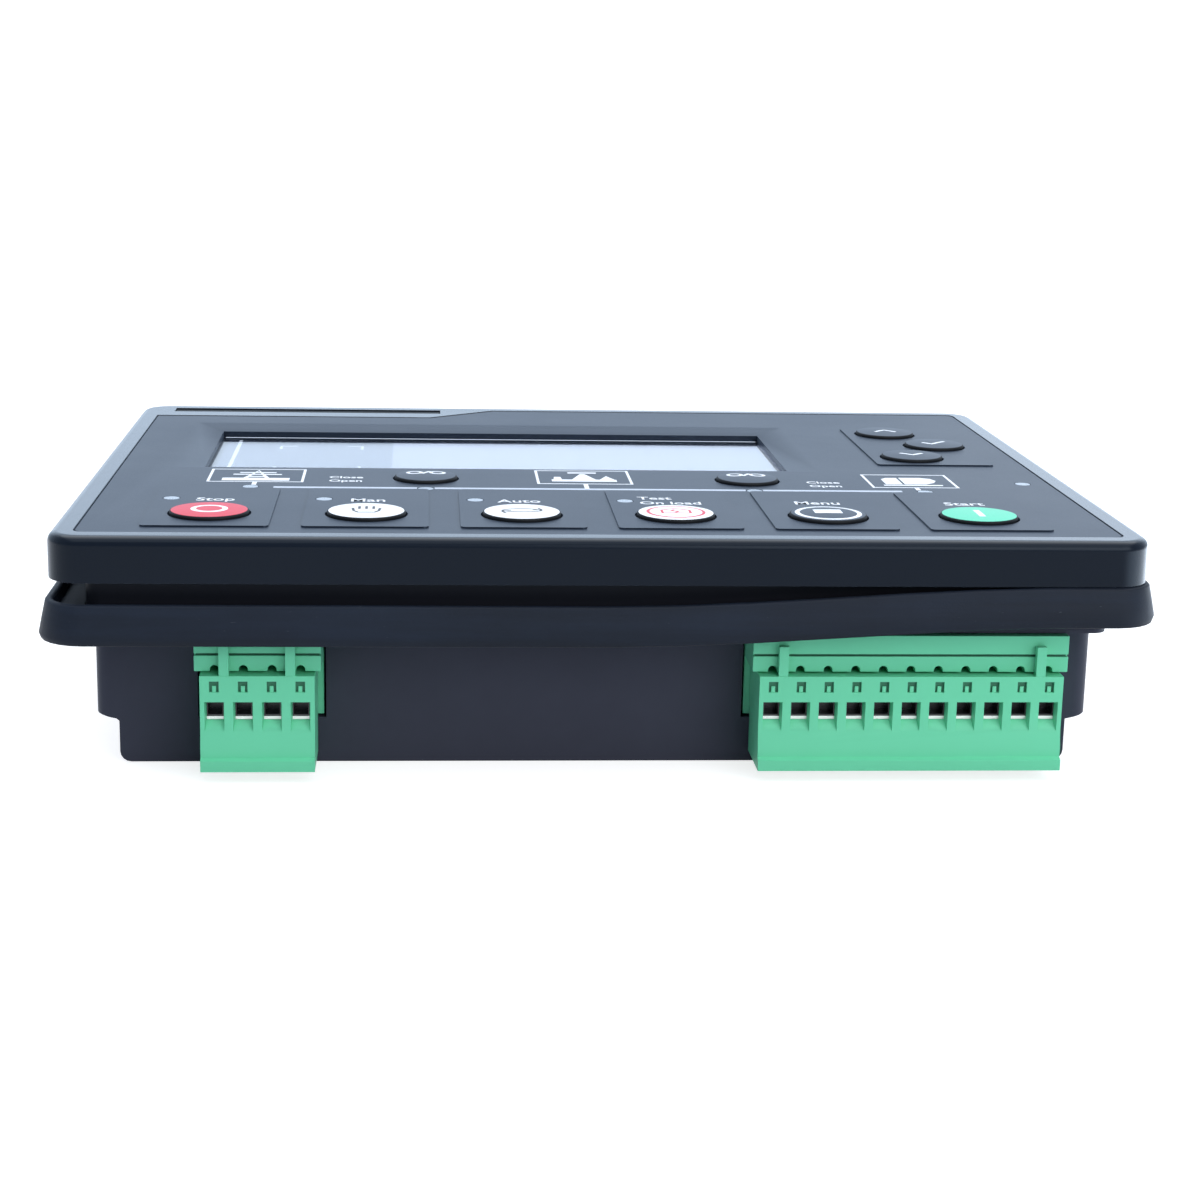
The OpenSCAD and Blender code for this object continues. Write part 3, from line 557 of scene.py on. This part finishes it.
def drawn(name, runs, width, place, level, body, ink, key=None):
    """Printed lines of one width. A run is a list of points, and True if it closes."""
    line = bpy.data.curves.new(name, "CURVE")
    line.dimensions = "3D"
    line.bevel_depth = width * MM / 2
    line.bevel_resolution = 1
    line.use_fill_caps = True
    for points, closed in runs:
        spline = line.splines.new("POLY")
        spline.points.add(len(points) - 1)
        for spot, (x, y) in zip(spline.points, points):
            spot.co = (x * MM, y * MM, 0, 1)
        spline.use_cyclic_u = closed
    mesh = laid_mesh(line, name)
    mesh.transform(Matrix.Scale(2 * INK / (width * MM), 4, (0, 0, 1)))
    printed(mesh, name, place, level, body, ink, key)


def filled(name, outlines, place, level, body, worn, key=None, thick=INK, slot="overlay_film"):
    """Flat areas, each inside a closed outline: print, or the raised parts of a screw head."""
    work = bmesh.new()
    for outline in outlines:
        spots = [work.verts.new((x * MM, y * MM, 0)) for x, y in outline]
        bmesh.ops.contextual_create(work, geom=spots)
    if key:
        bmesh.ops.subdivide_edges(work, edges=work.edges[:], cuts=DOME_CUTS, use_grid_fill=True)
    made = bmesh.ops.extrude_face_region(work, geom=work.faces[:])
    up = [part for part in made["geom"] if isinstance(part, bmesh.types.BMVert)]
    bmesh.ops.translate(work, verts=up, vec=(0, 0, thick))
    bmesh.ops.recalc_face_normals(work, faces=work.faces)
    mesh = bpy.data.meshes.new(name)
    work.to_mesh(mesh)
    work.free()
    printed(mesh, name, place, level, body, worn, key, slot)


def worded(name, text, size, place, level, align="CENTER"):
    """A plain word printed in white on the overlay."""
    letters = bpy.data.curves.new(name, "FONT")
    letters.body = text
    letters.size = size * MM
    letters.align_x = align
    letters.align_y = "CENTER"
    letters.extrude = INK
    letters.offset = 0.05 * MM
    letters.resolution_u = 3
    printed(laid_mesh(letters, name), name, place, level, CASE, ink_finish)


def round_run(radius, start=0, end=360, middle=(0, 0), steps=40, flat=1.0):
    """Points on a circle, or on an arc of it, from one angle to another."""
    full = end - start == 360
    count = steps if full else steps + 1
    points = []
    for step in range(count):
        turn = math.radians(start + (end - start) * step / steps)
        x = middle[0] + radius * math.cos(turn)
        y = middle[1] + radius * flat * math.sin(turn)
        points.append((x, y))
    return points, full


def head_lands(spot, radius, slot):
    """Outlines of the four parts of a screw head that a cross of that slot width leaves."""
    half = slot / 2
    start = math.degrees(math.asin(half / radius))
    lands = []
    for turn in (0, 90, 180, 270):
        arc, _ = round_run(radius, turn + start, turn + 90 - start, spot, 8)
        inner, _ = round_run(half * math.sqrt(2), turn + 45, turn + 45, spot, 1)
        lands.append(arc + inner[:1])
    return lands


def crossed(name, heads, radius, slot, level, body):
    """The raised parts of crossed screw heads that look down from a level."""
    lands = [land for head in heads for land in head_lands(head, radius, slot)]
    rise = -0.4 * MM
    filled(name, lands, (0, 0), level, body, zinc_finish, thick=rise, slot="zinc_steel")


def key_spot(node):
    """A key's middle in millimetres, and the level of its crown."""
    low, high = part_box(node)
    return ((low.x + high.x) / 2 / MM, (low.y + high.y) / 2 / MM), high.z


def on_key(node, name, runs, width, ink):
    """Printed lines on a key, in steps short enough to follow its dome."""
    spot, level = key_spot(node)
    short = []
    for points, closed in runs:
        ends = points[1:] + points[:1] if closed else points[1:]
        stepped = []
        for (x0, y0), (x1, y1) in zip(points, ends):
            count = max(1, round(math.hypot(x1 - x0, y1 - y0) / DOME_STEP))
            for share in (step / count for step in range(count)):
                stepped.append((x0 + (x1 - x0) * share, y0 + (y1 - y0) * share))
        short.append((stepped if closed else stepped + points[-1:], closed))
    drawn(name, short, width, spot, level, node, ink, node)


# Case
softened("bezel", "bezel_shell", "case_plastic", bezel_finish, 0.15)
softened("front_overlay", "overlay_sheet", "overlay_film", overlay_finish, 0.24)
softened("rear_housing", "rear_box", "case_plastic", case_finish, 0.25)
softened("panel_gasket", "gasket_ring", "gasket_rubber", rubber_finish, 0.35)
for side in SIDES:
    for piece in (side + "_header", side + "_plug"):
        softened(piece, piece + "_shell", "terminal_green", terminal_finishes[piece], 0.12)

# Nodes whose shape is right as it is
for node, worn in {
    "nameplate_inlay": inlay_finish,
    "display_window": clear_finish,
    "lcd_glass": glass_finish,
    "lcd_frame": frame_finish,
    "light_pipes": pipe_finish,
    "status_leds": led_finish,
    "contact_pads": gold_finish,
    "key_board": board_finish,
    "key_board_screws": zinc_finish,
    "case_screws": zinc_finish,
    "main_board": board_finish,
    "board_screws": zinc_finish,
    "link_header": gold_finish,
    "link_socket": chip_finish,
    "relays": relay_finish,
    "capacitors": sleeve_finish,
    "control_chips": chip_finish,
    "sense_transformers": trafo_finish,
    "left_header_pins": tin_finish,
    "right_header_pins": tin_finish,
    "left_plug_clamps": left_clamp_finish,
    "right_plug_clamps": right_clamp_finish,
    "left_plug_screws": zinc_finish,
    "right_plug_screws": zinc_finish,
}.items():
    nodes[node].data.materials.clear()
    nodes[node].data.materials.append(worn)

# Keys
for node, slot, worn in (
    ("key_stop", "key_red", red_finish),
    ("key_manual", "key_white", white_finish),
    ("key_auto", "key_white", white_finish),
    ("key_test", "key_white", white_finish),
    ("key_menu", "key_dark", overlay_finish),
    ("key_start", "key_green", green_finish),
    ("key_mains_breaker", "key_dark", overlay_finish),
    ("key_gen_breaker", "key_dark", overlay_finish),
    ("key_up", "key_dark", overlay_finish),
    ("key_confirm", "key_dark", overlay_finish),
    ("key_down", "key_dark", overlay_finish),
):
    spun_key(node, slot, worn)

# Signs on the keys, drawn in millimetres about each key's middle
on_key("key_stop", "stop_ring", [round_run(2.9)], 1.0, ink_finish)
palm = [(-2.5, 1.2), (-2.3, -1.2), (-1.5, -2.6), (1.5, -2.6), (2.3, -1.2), (2.5, 1.2)]
hand = [(palm, False)]
hand += [([(x, 2.9), (x, 0.3)], False) for x in (-1.3, 0, 1.3)]
on_key("key_manual", "manual_hand", hand, 0.5, dark_ink_finish)
turns = [round_run(4, 25, 155, (0, -0.9), 16, 0.6), round_run(4, 205, 335, (0, 0.9), 16, 0.6)]
turns += [([(3.1, 2.3), (3.7, 0.6), (2.0, 0.4)], False)]
turns += [([(-3.1, -2.3), (-3.7, -0.6), (-2.0, -0.4)], False)]
on_key("key_auto", "auto_arrows", turns, 0.5, dark_ink_finish)
on_key("key_test", "test_ring", [round_run(5.2)], 0.6, red_ink_finish)
load_sign = [([(-2.6, -1.6), (-2.6, 1.2), (0, 2.6), (2.6, 1.2), (2.6, -1.6)], True)]
load_sign += [([(-0.2, 1.3), (-1.0, 0.1), (0.6, 0.1), (-0.2, -1.1)], False)]
on_key("key_test", "test_sign", load_sign, 0.5, red_ink_finish)
on_key("key_menu", "menu_ring", [round_run(5.8)], 0.9, ink_finish)
spot, level = key_spot("key_menu")
page = [[(-2.6, -0.9), (2.6, -0.9), (2.6, 2.6), (-2.6, 2.6)]]
filled("menu_page", page, spot, level, "key_menu", ink_finish, "key_menu")
on_key("key_start", "start_bar", [([(0, -3), (0, 3)], False)], 1.2, ink_finish)
breaker = [round_run(1.35, middle=(-2.3, 2.1)), round_run(1.35, middle=(2.3, 2.1))]
breaker += [([(-0.7, 0.8), (0.7, 3.5)], False)]
on_key("key_mains_breaker", "mains_breaker_sign", breaker, 0.7, ink_finish)
on_key("key_gen_breaker", "gen_breaker_sign", breaker, 0.7, ink_finish)
on_key("key_up", "up_sign", [([(-2.4, -1.0), (0, 1.2), (2.4, -1.0)], False)], 0.8, ink_finish)
on_key("key_down", "down_sign", [([(-2.4, 1.0), (0, -1.2), (2.4, 1.0)], False)], 0.8, ink_finish)
tick = [([(-2.6, 0.2), (-0.8, -1.6), (2.6, 1.9)], False)]
on_key("key_confirm", "confirm_sign", tick, 0.8, ink_finish)

# Words on the overlay, behind the keys of the front row and beside the breaker keys
word_size, word_rise = 4.0, 12.8
for node, text in (
    ("key_stop", "Stop"),
    ("key_manual", "Man"),
    ("key_auto", "Auto"),
    ("key_menu", "Menu"),
    ("key_start", "Start"),
):
    (x, y), _ = key_spot(node)
    worded(node + "_word", text, word_size, (x, y + word_rise), TILE_LEVEL)
pair_size, pair_set = 3.6, 5.7
(x, y), _ = key_spot("key_test")
for name, text, rise in (
    ("key_test_word", "Test", 16.6),
    ("key_test_word_low", "On load", 11.9),
):
    worded(name, text, pair_size, (x - pair_set, y + rise), TILE_LEVEL, "LEFT")
breaker_size, breaker_step = 2.9, 1.9
for name, x, y in (("mains", -48.1, -18.7), ("gen", 47.4, -20.8)):
    worded(name + "_word_close", "Close", breaker_size, (x, y + breaker_step), OVERLAY_LEVEL)
    worded(name + "_word_open", "Open", breaker_size, (x, y - breaker_step), OVERLAY_LEVEL)

# Supply line on the overlay with its three framed signs, in millimetres
supply_y = -27.7
supply_runs = ((-61.8, -34), (-30.6, 30.6), (34, 61.8))
supply_line = [([(x0, supply_y), (x1, supply_y)], False) for x0, x1 in supply_runs]
drawn("supply_line", supply_line, 1.6, (0, 0), OVERLAY_LEVEL, CASE, pale_ink_finish)
for name, x0, y0, x1, y1, foot in (
    ("mains", -75, -22, -56.6, -8.5, -25.4),
    ("load", -10, -22, 8.6, -7.6, supply_y),
    ("gen", 57, -23.5, 74.1, -9.5, -26.4),
):
    box_run = [([(x0, y0), (x1, y0), (x1, y1), (x0, y1)], True)]
    drawn(name + "_box", box_run, 0.75, (0, 0), OVERLAY_LEVEL, CASE, ink_finish)
    stem = [([(0, y0), (0, foot)], False)]
    drawn(name + "_stem", stem, 0.9, ((x0 + x1) / 2, 0), OVERLAY_LEVEL, CASE, ink_finish)
mast_spot = (-65.8, -15.3)
mast = [([(-2.2, -3), (0, 5.4), (2.2, -3)], False)]
mast += [([(-reach, y), (reach, y)], False) for reach, y in ((4.8, 1.2), (3.6, 3.2), (1.6, -1.2))]
drawn("mains_mast", mast, 0.9, mast_spot, OVERLAY_LEVEL, CASE, ink_finish)
mast_foot = [[(-6.6, -5.6), (6.6, -5.6), (6.6, -2.8), (-6.6, -2.8)]]
filled("mains_mast_foot", mast_foot, mast_spot, OVERLAY_LEVEL, CASE, ink_finish)
works = [
    [(-6.5, -4.8), (6.5, -4.8), (6.5, -2.6), (-6.5, -2.6)],
    [(-6.1, -2.6), (-4.4, -2.6), (-4.6, 0.2), (-5.9, 0.2)],
    [(-2.4, -2.6), (2.4, -2.6), (0.5, 3.4), (-0.5, 3.4)],
    [(3.2, -2.6), (6.2, -2.6), (4.7, 1.4)],
    [(-2.9, 4.2), (2.9, 4.2), (2.9, 5.4), (-2.9, 5.4)],
]
filled("load_works", works, (-0.7, -14.8), OVERLAY_LEVEL, CASE, ink_finish)
engine = [
    [(-5.4, -3.6), (-2, -3.6), (-2, 3.4), (-4.2, 3.4), (-5.4, 2)],
    [(-1.5, -3.6), (2.8, -3.6), (4.8, -1.8), (5.6, 0.4), (4.8, 2.6), (2.8, 3.6), (-1.5, 3.6)],
    [(-6, -5.2), (6, -5.2), (6, -4.2), (-6, -4.2)],
]
filled("gen_engine", engine, (65.5, -16.4), OVERLAY_LEVEL, CASE, ink_finish)

# Crossed screw heads under the case and the plugs
low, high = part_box("case_screws")
case_head = 2.8
columns = (low.x / MM + case_head, high.x / MM - case_head)
rows = (low.y / MM + case_head, high.y / MM - case_head)
heads = [(x, y) for x in columns for y in rows]
crossed("case_screw_heads", heads, 2.6, 0.9, low.z, CASE)
plug_head = 1.9
for side, poles in (("left", 4), ("right", 11)):
    low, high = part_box(side + "_plug_screws")
    y = (low.y + high.y) / 2 / MM
    heads = [(low.x / MM + plug_head + POLE_PITCH * pole, y) for pole in range(poles)]
    crossed(side + "_plug_heads", heads, 1.75, 0.7, low.z, side + "_plug")

# Lines on the display glass, and a painted highlight along the far edge of the window: a pale line
# in place of its reflection
glass_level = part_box("lcd_glass")[1].z
lines = [
    ([(-73.4, 42), (-73.4, 1)], False),
    ([(-64, 31), (-64, 34.6), (-60.5, 34.6)], False),
    ([(-49.5, 35), (-46.3, 35), (-46.3, 31)], False),
    ([(-64, 9), (-64, 5.6), (-60.5, 5.6)], False),
    ([(-49.5, 6), (-46.3, 6), (-46.3, 10)], False),
]
drawn("display_lines", lines, 0.8, (0, 0), glass_level, CASE, glass_line_finish)
side_strip = [([(42.4, 1), (42.4, 38)], False)]
drawn("display_side_strip", side_strip, 1.2, (0, 0), glass_level, CASE, ink_finish)
window_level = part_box("display_window")[1].z
# Painted highlight: a pale strip standing in for the window edge's reflection.
edge_highlight_run = [([(-77, 43.6), (42.5, 43.6)], False)]
drawn("window_edge_painted_highlight", edge_highlight_run, 1.0, (0, 0), window_level, CASE, pale_ink_finish)

# Camera at the photograph's angle
yaw, pitch, roll = math.radians(4.46), math.radians(13.39), math.radians(1.23)
level_ahead = math.cos(pitch)
ahead = Vector((math.sin(yaw) * level_ahead, math.cos(yaw) * level_ahead, -math.sin(pitch)))
right = Vector((math.cos(yaw), -math.sin(yaw), 0))
up = right.cross(ahead)
tilted_right = math.cos(roll) * right + math.sin(roll) * up
tilted_up = math.cos(roll) * up - math.sin(roll) * right
camera = bpy.data.objects.new("camera", bpy.data.cameras.new("camera"))
camera.data.lens = 69.0
camera.data.sensor_width = 36.0
camera.data.clip_start = 0.01
eye = Matrix.Translation((-0.0323, -0.4705, 0.1286))
turned = Matrix((tilted_right, tilted_up, -ahead)).transposed().to_4x4()
camera.matrix_world = eye @ turned
bpy.context.scene.collection.objects.link(camera)
bpy.context.scene.camera = camera

# Floor, just under the face that the case stands on
floor_size, floor_drop = 6.0, 0.1 * MM
work = bmesh.new()
bmesh.ops.create_grid(work, x_segments=4, y_segments=4, size=floor_size)
bmesh.ops.translate(work, verts=work.verts, vec=(0, 0, -floor_drop))
floor_mesh = bpy.data.meshes.new("floor")
work.to_mesh(floor_mesh)
work.free()
floor = bpy.data.objects.new("floor", floor_mesh)
bpy.context.scene.collection.objects.link(floor)


def background_rays(start):
    """1 for the rays that show the background, straight, mirrored or through a window."""
    seen, mirrored, through = (
        start.node("LightPath", output=f"Is {kind} Ray")
        for kind in ("Camera", "Glossy", "Transmission")
    )
    return start.maths("MAXIMUM", seen, start.maths("MAXIMUM", mirrored, through))


# White paper, kept white in the picture and in mirrors by a glow that lights nothing else
floor_finish = bpy.data.materials.new("pale floor")
floor_finish.use_nodes = True
floor_finish.node_tree.nodes.clear()
start = Tap(floor_finish.node_tree)
paper = start.node("BsdfDiffuse", None, {"Color": colour(0.54, 0.55, 0.57)})
glow_strength = background_rays(start) * 0.76
glow = start.node("Emission", None, {"Color": WHITE, "Strength": glow_strength})
start.node("OutputMaterial", None, {"Surface": start.node("AddShader", None, {0: paper, 1: glow})})
floor_mesh.materials.append(floor_finish)

# White to the camera, pale and cool to everything else, and as a light brightest behind the case
world = bpy.data.worlds.new("studio")
bpy.context.scene.world = world
world.use_nodes = True
world.node_tree.nodes.clear()
start = Tap(world.node_tree)
camera_ray = start.node("LightPath", output="Is Camera Ray")
way = start.node("TexCoord", output="Generated")
behind = way.along("Y").above(0.1, 1.4)
rightward = way.along("X").above(0, 1.6)
skylight = 0.2 + behind * (1.14 + rightward * 0.05)
sky = {
    "Color": camera_ray.mixed(colour(0.69, 0.83, 1.0), WHITE),
    "Strength": start.maths("MAXIMUM", background_rays(start), skylight),
}
start.node("OutputWorld", None, {"Surface": start.node("Background", None, sky)})


def softbox(name, place, aim, width, height, power, tint=(1, 1, 1)):
    """A rectangular lamp at a place, turned to what it lights."""
    lamp = bpy.data.lights.new(name, "AREA")
    lamp.shape = "RECTANGLE"
    lamp.size, lamp.size_y = width, height
    lamp.energy = power
    lamp.color = tint
    made = bpy.data.objects.new(name, lamp)
    made.location = place
    made.rotation_euler = (Vector(aim) - Vector(place)).to_track_quat("-Z", "Y").to_euler()
    bpy.context.scene.collection.objects.link(made)


softbox("front softbox", (0.5, -0.95, 0.5), (0, 0, 0.02), 0.9, 0.6, 5.7)
softbox("top softbox", (0.1, -0.1, 1.1), (0.1, -0.1, 0.04), 1.9, 1.9, 18.5)
softbox("back softbox", (0.9, 1.0, 0.35), (0, 0, 0.04), 1.4, 0.7, 0.6)
softbox("right card", (0.34, 0.0, 0.004), (0.34, 0.0, 1.0), 0.3, 0.5, 2.0, (0.75, 0.87, 1.0))

bpy.context.scene.view_settings.view_transform = "Standard"
